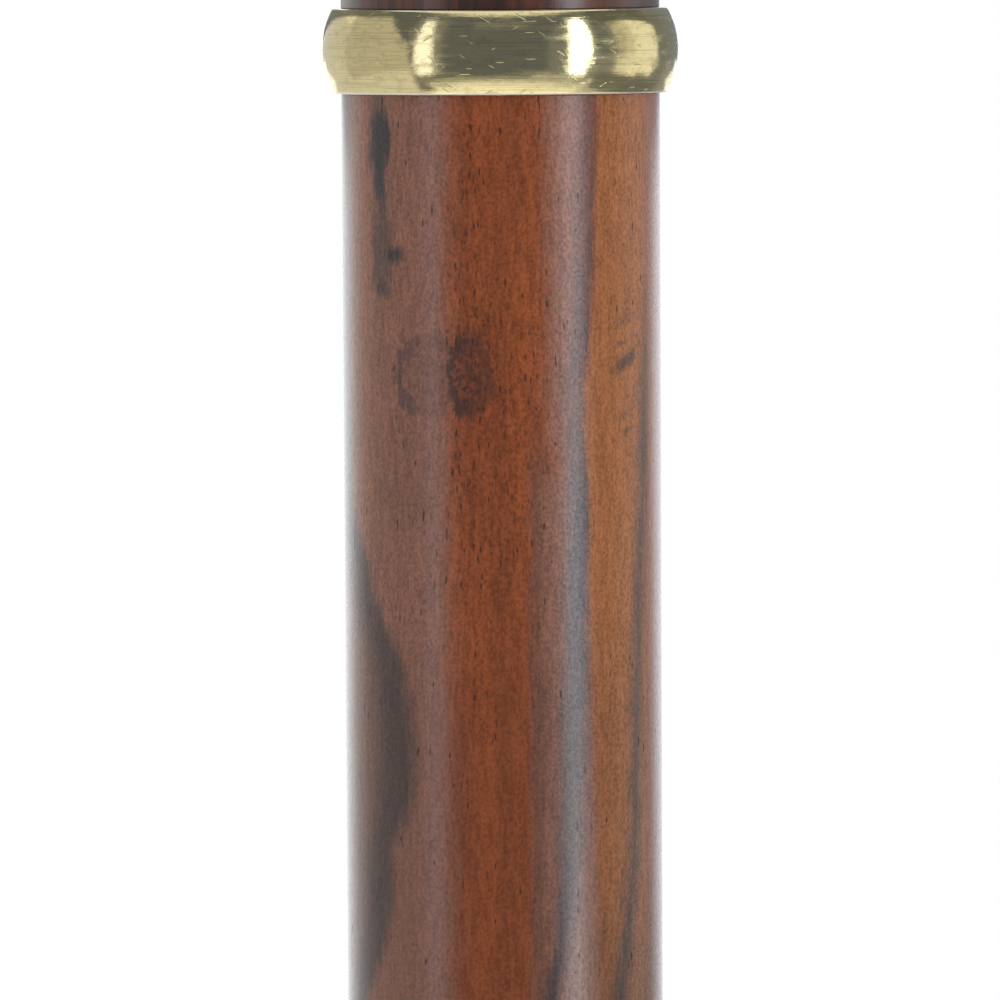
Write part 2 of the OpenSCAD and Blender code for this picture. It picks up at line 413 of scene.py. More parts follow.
class Place:
    """Where a shaded point is on the stick: millimetres, and degrees round from the front."""

    def __init__(self, paint):
        self.paint = paint
        object_place = paint.node("ShaderNodeTexCoord", output="Object")
        self.x, self.y, self.z = (
            paint.node("ShaderNodeSeparateXYZ", None, {0: object_place}, axis) * MM_PER_METRE
            for axis in range(3)
        )
        self.round = self.x.math("ARCTAN2", self.x, self.y * -1.0) * DEGREES_PER_RADIAN

    def grain(self, across, along, seed, detail=2.0, roughness=0.5):
        """Noise drawn out along the stick, with its features per millimetre across and along."""
        place = self.paint.vector(self.x * across + seed, self.y * across, self.z * along)
        return self.paint.noise(place, detail, roughness)


class Figure(Place):
    """Marks on the shaft, placed by degrees round from the front and millimetres below the collar."""

    def __init__(self, paint):
        super().__init__(paint)
        ramp = paint.ramp
        self.down = SHOULDER_Z * MM_PER_METRE - self.z
        self.ragged = self.grain(across=3.4, along=0.32, seed=2.6, detail=3.0, roughness=0.6) - 0.5
        self.lumps = self.grain(across=1.1, along=0.5, seed=7.7) - 0.5
        fibres = self.grain(across=3.2, along=0.5, seed=1.7, detail=3.0, roughness=0.6)
        self.fine = ramp(fibres, 0.28, 0.72)
        self.fleck = ramp(self.grain(across=5.6, along=4.4, seed=5.2, detail=1.0), 0.25, 0.75)

        # Masks from 0 to 1: the photographed stretch, and its sides that differ in colour; the grey sides are
        # partly painted reflection haze, and high on the right there is a painted highlight
        beside = 1.0 - ramp(abs(self.round), *FIGURE_SIDES)
        self.shown = beside * (1.0 - ramp(self.down, *FIGURE_END))
        self.dark_low = ramp(self.down, *DARK_STRETCH)
        self.left_haze_side = ramp(self.round * -1.0 + self.rough(9.0), 12.0, 27.0)
        # High on the right of the front the wood is greyer and a tenth brighter: a painted highlight
        right_of_front = self.stripe(20.0, half_width=4.0, soft=4.0, wild=4.0)
        self.high_right_highlight = right_of_front * (1.0 - ramp(self.down, *GREY_STRETCH)) * 0.9
        past_stripe = self.round - self.along(AMBER_EDGE) - self.rough(SHARED_EDGE_WILD)
        self.amber = ramp(past_stripe, -1.6, 2.8) * self.shown

    def along(self, stops):
        """A value that changes along the stick, from stops of (millimetres below the collar, value)."""
        levels = [(depth / FIGURE_LENGTH, 0.5 + value / VALUE_SPAN) for depth, value in stops]
        share = self.down / FIGURE_LENGTH
        level = self.paint.node("ShaderNodeValToRGB", {"stops": levels}, {0: share})
        return (level - 0.5) * VALUE_SPAN

    def rough(self, wild):
        """Uneven edge, as far as wild degrees either way."""
        return (self.ragged + self.lumps) * wild

    def stripe(self, middle, half_width, soft, wild):
        """Mark along a course, with its middle, half width, edge and unevenness in degrees."""
        inside = half_width - abs(self.round - middle) + self.rough(wild)
        return self.paint.ramp(inside, -soft, soft)

    def spot(self, centre, half_size, soft, wild=0.9, lean=0.0):
        """Oval mark, with its centre and half size as (degrees round, millimetres below the collar)."""
        along = (self.down - centre[1]) / half_size[1]
        across = (self.round - centre[0]) / half_size[0] + along * lean
        reach = (across * across + along * along) ** 0.5 + self.rough(wild)
        return 1.0 - self.paint.ramp(reach, 1.0 - soft, 1.0 + soft)

    def blots(self, rows, soft, wild):
        """Several oval marks, each with its centre, half size, depth and lean."""
        marks = [self.spot(centre, size, soft, wild, lean) * depth for centre, size, depth, lean in rows]
        return most(*marks)


def most(first, *others):
    """The greatest of several values at each point."""
    for other in others:
        first = first.or_more(other)
    return first


def new_material(name):
    """An empty material and the paint that fills it."""
    material = bpy.data.materials.new(name)
    material.use_nodes = True
    return material, Paint(material.node_tree)


def lacquered(paint, look, ground, roughness, normal, coat):
    """Closes a wood with its clear gloss coat, from the values that change over it."""
    paint.surface(
        {
            "Base Color": ground,
            "Roughness": look.wood_roughness + roughness,
            "Normal": normal,
            "IOR": LACQUER_IOR,
            "Specular IOR Level": WOOD_SPECULAR,
            "Coat Weight": coat,
            "Coat Roughness": look.lacquer_roughness,
            "Coat IOR": LACQUER_IOR,
        }
    )


def left_marks(at):
    """Blue-black streak under the collar with its blots, and the broad soft band low on the left."""
    ramp = at.paint.ramp
    streak = at.stripe(at.along(STREAK_MIDDLE), at.along(STREAK_HALF_WIDTH), soft=2.6, wild=9.0)
    darkest = ramp(at.down, 0.0, 1.8) * (1.0 - ramp(at.down, 5.2, 8.0))
    inside = at.along(LEFT_BAND_EDGE) - at.round + at.rough(7.0)
    band = ramp(inside, -4.5, 5.0) * (1.0 - 0.6 * ramp(inside, 8.0, 27.0)) * 0.8
    return most(streak * (0.58 + 0.42 * darkest), at.blots(LEFT_BLOTS, soft=0.6, wild=1.4), band)


def right_marks(at):
    """Stripe with a sharp right edge and a soft left one, the thin line to its right and small blots."""
    ramp = at.paint.ramp
    inside = at.along(STRIPE_EDGE) - at.round + at.rough(SHARED_EDGE_WILD)
    soft = at.along(STRIPE_SOFTNESS)
    width = at.along(STRIPE_WIDTH)
    stripe = ramp(inside, soft * -1.0, soft) * (1.0 - ramp(inside, width * 0.35, width))
    line = at.stripe(at.along(THIN_LINE_MIDDLE), half_width=3.1, soft=5.2, wild=5.0)
    line_depth = ramp(at.down, 8.0, 22.0) * 0.88
    blots = at.blots(AMBER_BLOTS, soft=0.7, wild=0.9)
    return most(stripe * at.along(STRIPE_DEPTH), line * line_depth, blots)


def flush_knot(at):
    """Small branch cut flush: a thin ring, darkest on its left, beside a mottled oval with a dark rim.

    A point's reach is its distance from a centre as a share of the half size there, made uneven.
    """
    ramp = at.paint.ramp
    spots = at.grain(across=2.4, along=2.0, seed=6.6, detail=3.0, roughness=0.65)
    uneven = at.rough(0.34) + (spots - 0.5) * 0.9

    def reach(middle, half_width, half_height):
        across = (at.round - middle) / half_width
        along = (at.down - KNOT_DOWN) / half_height
        return across, (across * across + along * along) ** 0.5 + uneven

    across_ring, ring_reach = reach(middle=-28.0, half_width=12.8, half_height=2.3)
    ring = ramp(ring_reach, 0.66, 0.92) * (1.0 - ramp(ring_reach, 1.0, 1.3))
    ring_depth = 0.34 + 0.36 * ramp(across_ring * -1.0, 0.1, 0.8)
    ring_inside = (1.0 - ramp(ring_reach, 0.7, 1.0)) * (0.12 + 0.3 * ramp(spots, 0.45, 0.65))
    across_oval, oval_reach = reach(middle=-12.3, half_width=8.2, half_height=2.5)
    dense_left = ramp(across_oval * -1.0 + at.rough(1.2), -0.5, 0.5)
    rim = ramp(oval_reach, 0.4, 0.8) * (1.0 - ramp(oval_reach, 0.9, 1.25))
    rim_depth = 0.54 + dense_left * 0.3
    oval = 1.0 - ramp(oval_reach, 0.7, 1.2)
    oval_depth = 0.26 + (0.4 + dense_left * 0.24) * ramp(spots, 0.42, 0.6)
    heart = at.spot(centre=(-27.0, 18.4), half_size=(3.6, 0.6), soft=0.8) * 0.4
    return most(ring * ring_depth, ring_inside, rim * rim_depth, oval * oval_depth, heart)


def open_pores(at):
    """Short and long dashes and small clots along the grain.

    They are thick in a chain and a group near the front, and lie in thin clusters elsewhere.
    """
    paint = at.paint
    chain = at.spot(centre=(-12.5, 9.0), half_size=(6.0, 12.0), soft=0.6)
    group = at.spot(centre=(-3.0, 23.0), half_size=(16.0, 8.0), soft=0.5)
    zone = chain.or_more(group) * at.shown
    left_clump = at.spot(centre=(-9.0, 12.0), half_size=(9.0, 4.6), soft=0.7)
    right_clump = at.spot(centre=(8.5, 18.0), half_size=(4.5, 4.0), soft=0.6)
    thick = left_clump.or_more(right_clump) * at.shown
    cluster = paint.ramp(at.grain(across=1.1, along=0.2, seed=9.1, detail=3.0), 0.45, 0.6)
    share = 0.02 + cluster * (0.1 + zone * 0.85) + zone * 0.26 + thick * 0.36
    bend = at.lumps * 1.6
    short_place = paint.vector(at.x * 3.9 + bend, at.y * 3.9, at.z * 1.15 + at.ragged)
    long_place = paint.vector(at.x * 2.6 + bend + 7.0, at.y * 2.6, at.z * 0.42)
    short = paint.dashes(short_place, reach=0.42, share=share)
    long = paint.dashes(long_place, reach=0.26, share=share * 0.7)
    clot_grain = at.grain(across=2.8, along=1.1, seed=4.9, detail=3.0, roughness=0.65)
    clots = paint.ramp(clot_grain, 0.56, 0.68) * (zone * 0.2 + thick * 0.5)
    return most(short, long, clots) * 0.95


def shaft_ground(at, look):
    """Russet and orange bands, greyer on the left, beside the stripe and at the edges, amber on the right.
    The grey on the left and beside the stripe is partly painted reflection haze, and the grey at the edges is
    painted sheen.
    """
    paint = at.paint
    ramp = paint.ramp
    broad = at.grain(across=0.16, along=0.004, seed=3.1)
    bands = at.grain(across=0.8, along=0.03, seed=8.4, detail=3.0)
    low_right = ramp(at.round + at.rough(5.0), 7.0, 13.0) * ramp(at.down, *GREY_STRETCH)
    grey_and_haze_side = most(at.left_haze_side, low_right, at.high_right_highlight) * at.shown
    free_grey = 0.5 - ramp(broad, 0.3, 0.42) * 0.5
    far_left = ramp(at.round * -1.0, 50.0, 62.0) * at.shown
    # Paler, greyer wood towards the sides of the photographed stretch: painted sheen of the lacquer at
    # grazing angles
    painted_edge_sheen = ramp(abs(at.round), 58.0, 72.0) * at.shown
    ground = paint.mix(ramp(bands * 0.65 + broad * 0.35, 0.38, 0.6), look.russet, look.heartwood)
    # Mauve over the grey sides: greyer wood that is partly painted reflection haze of the lacquer, on the
    # left and beside the stripe
    ground = paint.mix(grey_and_haze_side.or_more(free_grey) * 0.85, ground, look.mauve_wood_and_haze)
    ground = paint.mix(far_left * 0.4, ground, look.amber)
    ground = paint.mix(at.amber, ground, look.amber)
    return paint.mix(painted_edge_sheen * 0.5, ground, look.mauve_wood_and_haze)


def shaft_wood(look):
    """Lacquered hardwood: bands of colour along the grain, dark streaks, a flush knot and pores, with painted
    reflection haze, edge sheen and a highlight in its colour.
    """
    material, paint = new_material("shaft_wood")
    at = Figure(paint)
    ramp = paint.ramp

    # Fine lines and flecks, which are calmer low down, on the amber side and on the left
    calm = (at.dark_low * (1.0 - at.amber) * 0.15 + at.amber * 0.1 + at.left_haze_side * 0.12) * at.shown
    speckle = (at.fine * 0.9 + at.fleck * 1.1 - 1.0) * (0.42 - calm * 0.42)
    low_tone = 1.0 - 0.13 * at.dark_low * at.shown
    amber_tone = 1.0 + at.amber * (at.along(AMBER_TONE) - 1.0)
    # The tone is lifted a tenth high on the right of the front: painted highlight
    tone = (1.0 + speckle) * low_tone * amber_tone * (1.0 + at.high_right_highlight * at.shown * 0.1)
    ground = paint.mix(1.0, shaft_ground(at, look), paint.vector(tone, tone, tone), "MULTIPLY")

    # Marks over the ground, with free streaks away from the photographed stretch
    cloud = at.spot(centre=(-38.0, 24.5), half_size=(10.0, 3.2), soft=0.9, wild=1.6) * 0.15
    red_band = at.stripe(12.4, half_width=1.8, soft=3.0, wild=3.0) * ramp(at.down, 16.0, 22.0) * 0.34
    streaks = at.grain(across=0.30, along=0.0055, seed=6.3, detail=4.0, roughness=0.55)
    free_streaks = ramp(streaks + at.ragged * 0.05, 0.56, 0.66) * (1.0 - at.shown) * 0.85
    ink = (left_marks(at).or_more(right_marks(at)) * at.shown).or_more(free_streaks)
    pores = open_pores(at)
    ground = paint.mix(cloud.or_more(red_band) * at.shown, ground, look.pore)
    ground = paint.mix(flush_knot(at) * at.shown, ground, look.knot)
    ground = paint.mix(ink * 0.93, ground, look.ink)
    ground = paint.mix(pores, ground, look.pore)

    # The coat is uneven over the grain, open at the pores and thin on the amber side
    relief = at.fine * 0.5 + at.fleck * 0.4 - pores * 0.8
    sparkle = (at.fleck * 0.46 + at.fine * 0.16 - 0.31) * (1.0 - calm)
    thin_coat = at.amber * (1.0 - ramp(at.round, 56.0, 68.0))
    lacquered(
        paint,
        look,
        ground,
        roughness=at.fine * 0.08 + pores * 0.1,
        normal=paint.bump(relief, depth=0.016 * MM, strength=0.6),
        coat=0.86 + sparkle - pores * 0.5 - thin_coat * 0.3,
    )
    return material


def knob_wood(look):
    """Darker hardwood of the knob: growth layers round a far pith, so that the crown shows arcs."""
    material, paint = new_material("knob_wood")
    at = Place(paint)
    pith_x = at.x - PITH_X
    pith_y = at.y - PITH_Y
    wander = at.grain(across=0.05, along=0.02, seed=4.4) * 9.0
    layer = (pith_x * pith_x + pith_y * pith_y) ** 0.5 + wander
    figure = paint.noise(paint.vector(layer * 0.32, at.z * 0.012, 7.5), detail=3.0, roughness=0.6)
    lines = paint.noise(paint.vector(layer * 1.9, at.z * 0.02, 1.2))
    fine = at.grain(across=3.0, along=0.05, seed=2.2, detail=3.0, roughness=0.6)
    streaks = paint.ramp(figure, 0.5, 0.57) * (1.0 - paint.ramp(figure, 0.6, 0.7))
    tone = 0.7 + fine * 0.3 + lines * 0.3
    pore_place = paint.vector(at.x * 2.2, at.y * 2.2, at.z * 0.55)
    pores = (1.0 - paint.ramp(paint.cells(pore_place), 0.13, 0.26)) * paint.ramp(figure, 0.4, 0.6)
    ground = paint.mix(paint.ramp(figure, 0.35, 0.62) * 0.55, look.knob_ground, look.heartwood)
    ground = paint.mix(streaks * 0.75, ground, look.ink)
    ground = paint.mix(1.0, ground, paint.vector(tone, tone, tone), "MULTIPLY")
    lacquered(
        paint,
        look,
        paint.mix(pores * 0.7, ground, look.pore),
        roughness=fine * 0.08,
        normal=paint.bump(fine * 0.5 - pores * 0.8, depth=0.012 * MM, strength=0.6),
        coat=0.85,
    )
    return material


def collar_brass(look):
    """Polished brass with turning lines, crossing scratches, dull and rubbed patches and pale edges. The pale
    edges are rougher, and their paler colour is painted reflection, strongest on the lower rim.

    The scratches lie on the unrolled face, in millimetres along it and of height from its middle.
    """
    material, paint = new_material("collar_brass")
    at = Place(paint)
    ramp = paint.ramp
    along = at.round * (COLLAR_HIGH.x * MM_PER_METRE / DEGREES_PER_RADIAN)
    height = at.z - COLLAR_MID_Z * MM_PER_METRE
    turning_place = paint.vector(at.x * 0.16, at.y * 0.16, height * 11.0)
    turning = paint.noise(turning_place, detail=4.0, roughness=0.65)
    cloud_place = paint.vector(at.x * 1.1, at.y * 1.1, height * 2.2)
    cloud = paint.noise(cloud_place, detail=4.0, roughness=0.62)
    speck = paint.noise(paint.vector(at.x * 5.0, at.y * 5.0, height * 6.0))
    rubbed_place = paint.vector(along * 0.45, height * 2.8, 3.3)
    rubbed = ramp(paint.noise(rubbed_place, detail=4.0, roughness=0.62), 0.5, 0.7)

    # Scratches that rise, fall and run level
    slope = height * 0.3
    steep = along * 2.7
    rising_place = paint.vector(along * 0.5 + slope, height * 4.6 - steep, 0.5)
    falling_place = paint.vector(along * 0.5 - slope, height * 4.6 + steep, 4.5)
    level_place = paint.vector(along * 0.5, height * 6.0, 8.5)
    scratches = most(
        paint.dashes(rising_place, SCRATCH_REACH, share=0.2),
        paint.dashes(falling_place, SCRATCH_REACH, share=0.18),
        paint.dashes(level_place, SCRATCH_REACH, share=0.25),
    )

    grime = ramp(cloud * 0.8 + speck * 0.2, 0.46, 0.66)
    lines = ramp(turning, 0.5, 0.64)
    # Pale rims, full on the lower one and at 0.4 on the top one: their paler colour is painted reflection of
    # the light from below, and they are also rougher, as matt cut edges
    edge_start = COLLAR_HALF_HEIGHT - PALE_EDGE_START
    edge_full = COLLAR_HALF_HEIGHT - PALE_EDGE_FULL
    low_rim_glint = ramp(height * -1.0, edge_start, edge_full)
    top_rim_glint = ramp(height, edge_start, edge_full)
    edge = low_rim_glint.or_more(top_rim_glint * 0.4)
    shade = paint.mix((grime * 0.36).or_more(lines * 0.38), look.brass, look.tarnish)
    relief = turning * 0.26 + speck * 0.16 - scratches
    paint.surface(
        {
            "Base Color": paint.mix(edge * 0.85, shade, look.pale_edge_glint),
            "Metallic": 1.0,
            "Roughness": look.brass_roughness + grime * 0.12 + rubbed * 0.13 + turning * 0.04 + edge * 0.2,
            "Normal": paint.bump(relief, depth=0.016 * MM, strength=0.9),
        }
    )
    return material


def bright_steel(name, look):
    """Zinc-bright steel with faint dull patches."""
    material, paint = new_material(name)
    patches = Place(paint).grain(across=3.0, along=3.0, seed=0.0, detail=3.0)
    paint.surface(
        {
            "Base Color": paint.mix(patches, look.steel, look.steel_shade),
            "Metallic": 1.0,
            "Roughness": 0.24 + patches * 0.18,
        }
    )
    return material


def ferrule_rubber(look):
    """Matt moulded rubber with a fine skin, and dusty scuffs that are thickest near the sole."""
    material, paint = new_material("ferrule_rubber")
    at = Place(paint)
    skin = at.grain(across=4.0, along=4.0, seed=0.0, detail=3.0, roughness=0.6)
    scuff = at.grain(across=0.5, along=0.9, seed=0.0, detail=4.0, roughness=0.65)
    low = 1.0 - paint.ramp(at.z, 0.5, 9.0)
    worn = paint.ramp(scuff + low * 0.22, 0.58, 0.86)
    paint.surface(
        {
            "Base Color": paint.mix(worn * 0.7, look.rubber, look.rubber_dust),
            "Roughness": 0.58 + skin * 0.14 + worn * 0.12,
            "Normal": paint.bump(skin, depth=0.03 * MM, strength=0.5),
        }
    )
    return material


def arc(centre_r, centre_z, radius, start, stop, steps):
    """Points on a circle in the (r, z) half plane, from one angle in degrees to another."""
    angle = np.radians(np.linspace(start, stop, steps + 1))
    return np.column_stack((centre_r + radius * np.cos(angle), centre_z + radius * np.sin(angle)))


def straight(start, stop, steps):
    """Evenly spaced points on a line in the (r, z) half plane, without its last point."""
    share = np.linspace(0.0, 1.0, steps, endpoint=False)[:, None]
    return np.array(start) + share * (np.array(stop) - np.array(start))


def outline(*runs):
    """One profile from several runs of points, with repeated points left out."""
    points = np.vstack([np.atleast_2d(np.array(run, float)) for run in runs])
    step = np.linalg.norm(np.diff(points, axis=0), axis=1)
    return points[np.concatenate(([True], step > SAME_POINT))]


def turned(profile, turns, ring=False):
    """Vertices and faces of a profile (r, z) carried round Z: x = r sin a, y = -r cos a.

    A profile that starts and ends on the axis closes with two poles. With ring, its last point
    joins its first one instead. It runs with the solid on its left, so that faces point outwards.
    """
    angle = np.linspace(0.0, 2.0 * np.pi, turns, endpoint=False)
    rows = profile if ring else profile[1:-1]
    r = rows[:, 0][:, None]
    x = r * np.sin(angle)
    y = -r * np.cos(angle)
    z = np.broadcast_to(rows[:, 1][:, None], x.shape)
    vertices = np.stack((x, y, z), axis=-1).reshape(-1, 3)
    return close_grid(vertices, len(rows), turns, ring, profile)


def close_grid(vertices, count, turns, ring, profile):
    """Quads between neighbouring rows of a grid that goes round, with poles or a last row joined."""
    grid = np.arange(count * turns).reshape(count, turns)
    low = grid if ring else grid[:-1]
    high = np.roll(grid, -1, axis=0) if ring else grid[1:]
    quads = np.stack((low, np.roll(low, -1, 1), np.roll(high, -1, 1), high), axis=-1).reshape(-1, 4)
    if ring:
        return vertices, quads, np.empty((0, 3), int)
    poles = np.array([[0.0, 0.0, profile[0, 1]], [0.0, 0.0, profile[-1, 1]]])
    first, last = len(vertices), len(vertices) + 1
    start = np.stack((np.full(turns, first), np.roll(grid[0], -1), grid[0]), axis=-1)
    stop = np.stack((np.full(turns, last), grid[-1], np.roll(grid[-1], -1)), axis=-1)
    return np.vstack((vertices, poles)), quads, np.vstack((start, stop))


def enclosed_volume(vertices, quads, triangles):
    """Signed volume inside a closed surface, which is above zero where its faces point outwards."""
    halves = np.vstack((quads[:, [0, 1, 2]], quads[:, [0, 2, 3]], triangles))
    a, b, c = (vertices[halves[:, corner]] for corner in range(3))
    return np.einsum("ij,ij->i", a, np.cross(b, c)).sum() / 6.0


def add_piece(name, node, surface, material):
    """Makes a mesh object from arrays with its material, lets it ride with the body, and hides the solid that
    it stands in for.
    """
    vertices, quads, triangles = surface
    volume = enclosed_volume(vertices, quads, triangles)
    if volume <= 0.0:
        raise RuntimeError(f"{name} has no inside: its profile runs the wrong way round")
    mesh = bpy.data.meshes.new(name)
    loops = np.concatenate((quads.ravel(), triangles.ravel()))
    sizes = np.concatenate((np.full(len(quads), 4), np.full(len(triangles), 3)))
    mesh.vertices.add(len(vertices))
    mesh.vertices.foreach_set("co", vertices.astype(np.float32).ravel())
    mesh.loops.add(len(loops))
    mesh.loops.foreach_set("vertex_index", loops.astype(np.int32))
    mesh.polygons.add(len(sizes))
    mesh.polygons.foreach_set("loop_start", (np.cumsum(sizes) - sizes).astype(np.int32))
    mesh.polygons.foreach_set("use_smooth", np.ones(len(sizes), bool))
    mesh.update(calc_edges=True)
    if mesh.validate():
        raise RuntimeError(f"{name} has faces that Blender had to repair")
    mesh.set_sharp_from_angle(angle=SMOOTH_BELOW)
    mesh.materials.append(material)
    piece = bpy.data.objects.new(name, mesh)
    bpy.context.scene.collection.objects.link(piece)
    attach(piece, BODY)
    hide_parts(node)
    return piece


def shaft_radius(sizes, z):
    """Radius of the shaft at a height, on a straight line from the tip's radius to the shoulder's."""
    share = (z - TIP_Z) / (SHOULDER_Z - TIP_Z)
    return sizes.tip_radius + (SHAFT_HIGH.x - sizes.tip_radius) * share


def shaft_profile(sizes):
    """Tip, bevel, straight taper, eased shoulder, spigot and the stud's blind bore."""
    bevel_z = TIP_Z + sizes.tip_bevel
    ease_z = SHOULDER_Z - sizes.shoulder_ease
    bore_z = STUD_LOW.z - sizes.stud_end_gap
    bevel_end = (shaft_radius(sizes, bevel_z), bevel_z)
    ease_start = (shaft_radius(sizes, ease_z), ease_z)
    return outline(
        (0.0, TIP_Z),
        straight((sizes.tip_radius - sizes.tip_bevel, TIP_Z), bevel_end, steps=2),
        straight(bevel_end, ease_start, steps=110),
        ease_start,
        (SHAFT_HIGH.x - sizes.shoulder_ease, SHOULDER_Z),
        (sizes.spigot_radius, SHOULDER_Z),
        (sizes.spigot_radius, SHAFT_HIGH.z),
        (sizes.stud_bore_radius, SHAFT_HIGH.z),
        (sizes.stud_bore_radius, bore_z),
        (0.0, bore_z),
    )


def knob_profile(sizes):
    """Bore, spigot, eased shoulder and neck, then cove, side and crown, each arc tangent to the next.

    The cove's centre lies its radius outside the neck, the side's centre both radii from the cove's,
    and the crown's centre on the axis, so that arcs meet on the line between their centres.
    """
    neck_r = SHAFT_HIGH.x
    side_r = KNOB_HIGH.x - sizes.side_radius
    cove_r = neck_r + sizes.cove_radius
    reach = sizes.cove_radius + sizes.side_radius
    cove_z = KNOB_Z + sizes.neck_length
    side_z = cove_z + math.sqrt(reach**2 - (cove_r - side_r) ** 2)
    crown_z = KNOB_HIGH.z - sizes.crown_radius
    cove_turn = math.degrees(math.asin((side_z - cove_z) / reach))
    crown_turn = math.degrees(math.atan2(side_z - crown_z, side_r))
    bore_z = STUD_HIGH.z + sizes.stud_end_gap
    return outline(
        (0.0, bore_z),
        (sizes.stud_bore_radius, bore_z),
        (sizes.stud_bore_radius, KNOB_LOW.z),
        (sizes.spigot_radius, KNOB_LOW.z),
        (sizes.spigot_radius, KNOB_Z),
        (neck_r - sizes.shoulder_ease, KNOB_Z),
        straight((neck_r, KNOB_Z + sizes.shoulder_ease), (neck_r, cove_z), steps=3),
        arc(cove_r, cove_z, sizes.cove_radius, 180.0, 180.0 - cove_turn, steps=24),
        arc(side_r, side_z, sizes.side_radius, -cove_turn, crown_turn, steps=64),
        arc(0.0, crown_z, sizes.crown_radius, crown_turn, 90.0, steps=36)[:-1],
        (0.0, KNOB_HIGH.z),
    )


def collar_profile(sizes):
    """Bore and two flat seats, with a domed face between two rounded rims, all arcs tangent.

    The centre of a rim lies as far from the dome's centre as the dome's radius less the rim's.
    """
    half = (KNOB_Z - SHOULDER_Z) / 2
    dome_r = COLLAR_HIGH.x - sizes.dome_radius
    rim_z = half - sizes.rim_radius
    inner = sizes.dome_radius - sizes.rim_radius
    rim_r = dome_r + math.sqrt(inner**2 - rim_z**2)
    turn = math.degrees(math.asin(rim_z / inner))
    low_z = COLLAR_MID_Z - rim_z
    high_z = COLLAR_MID_Z + rim_z
    return outline(
        (sizes.collar_bore_radius, KNOB_Z),
        straight((sizes.collar_bore_radius, SHOULDER_Z), (rim_r, SHOULDER_Z), steps=2),
        arc(rim_r, low_z, sizes.rim_radius, -90.0, -turn, steps=20),
        arc(dome_r, COLLAR_MID_Z, sizes.dome_radius, -turn, turn, steps=56),
        arc(rim_r, high_z, sizes.rim_radius, turn, 90.0, steps=20),
    )


def stud_surface(sizes, turns=48, steps_per_pitch=12):
    """Threaded rod with coned ends: the radius falls by a clipped triangle wave of z / pitch - a / 2 pi."""
    length = STUD_HIGH.z - STUD_LOW.z
    count = int(round(length / sizes.thread_pitch * steps_per_pitch))
    angle = np.linspace(0.0, 2.0 * np.pi, turns, endpoint=False)[None, :]
    z = np.linspace(STUD_LOW.z, STUD_HIGH.z, count)[:, None]
    phase = (z / sizes.thread_pitch - angle / (2.0 * np.pi)) % 1.0
    wave = np.abs(2.0 * phase - 1.0)
    flank = (1.0 - THREAD_FLAT - wave) / (1.0 - 2.0 * THREAD_FLAT)
    groove = np.clip(flank, 0.0, 1.0) * sizes.thread_depth
    from_end = np.minimum(z - STUD_LOW.z, STUD_HIGH.z - z)
    cone = STUD_HIGH.x - sizes.stud_bevel + from_end
    r = np.minimum(STUD_HIGH.x - groove, cone)
    vertices = np.stack((r * np.sin(angle), -r * np.cos(angle), np.broadcast_to(z, r.shape)), axis=-1)
    ends = np.array([[0.0, STUD_LOW.z], [0.0, STUD_HIGH.z]])
    return close_grid(vertices.reshape(-1, 3), count, turns, False, ends)


def tread_ring(sizes, middle):
    """Ring cut up into the flat sole, with eased edges, from its inner edge to its outer one."""
    inner = middle - sizes.tread_width / 2
    outer = middle + sizes.tread_width / 2
    return [
        (inner - sizes.edge_ease, 0.0),
        (inner, sizes.edge_ease),
        (inner, sizes.tread_depth),
        (outer, sizes.tread_depth),
        (outer, sizes.edge_ease),
        (outer + sizes.edge_ease, 0.0),
    ]


def grip_groove(sizes, middle, floor_r, face_r):
    """Groove round the sleeve, with eased edges, from its lower edge to its upper one."""
    low = middle - sizes.grip_height / 2
    high = middle + sizes.grip_height / 2
    return [
        (face_r, low - sizes.edge_ease),
        (face_r - sizes.edge_ease, low),
        (floor_r, low),
        (floor_r, high),
        (face_r - sizes.edge_ease, high),
        (face_r, high + sizes.edge_ease),
    ]


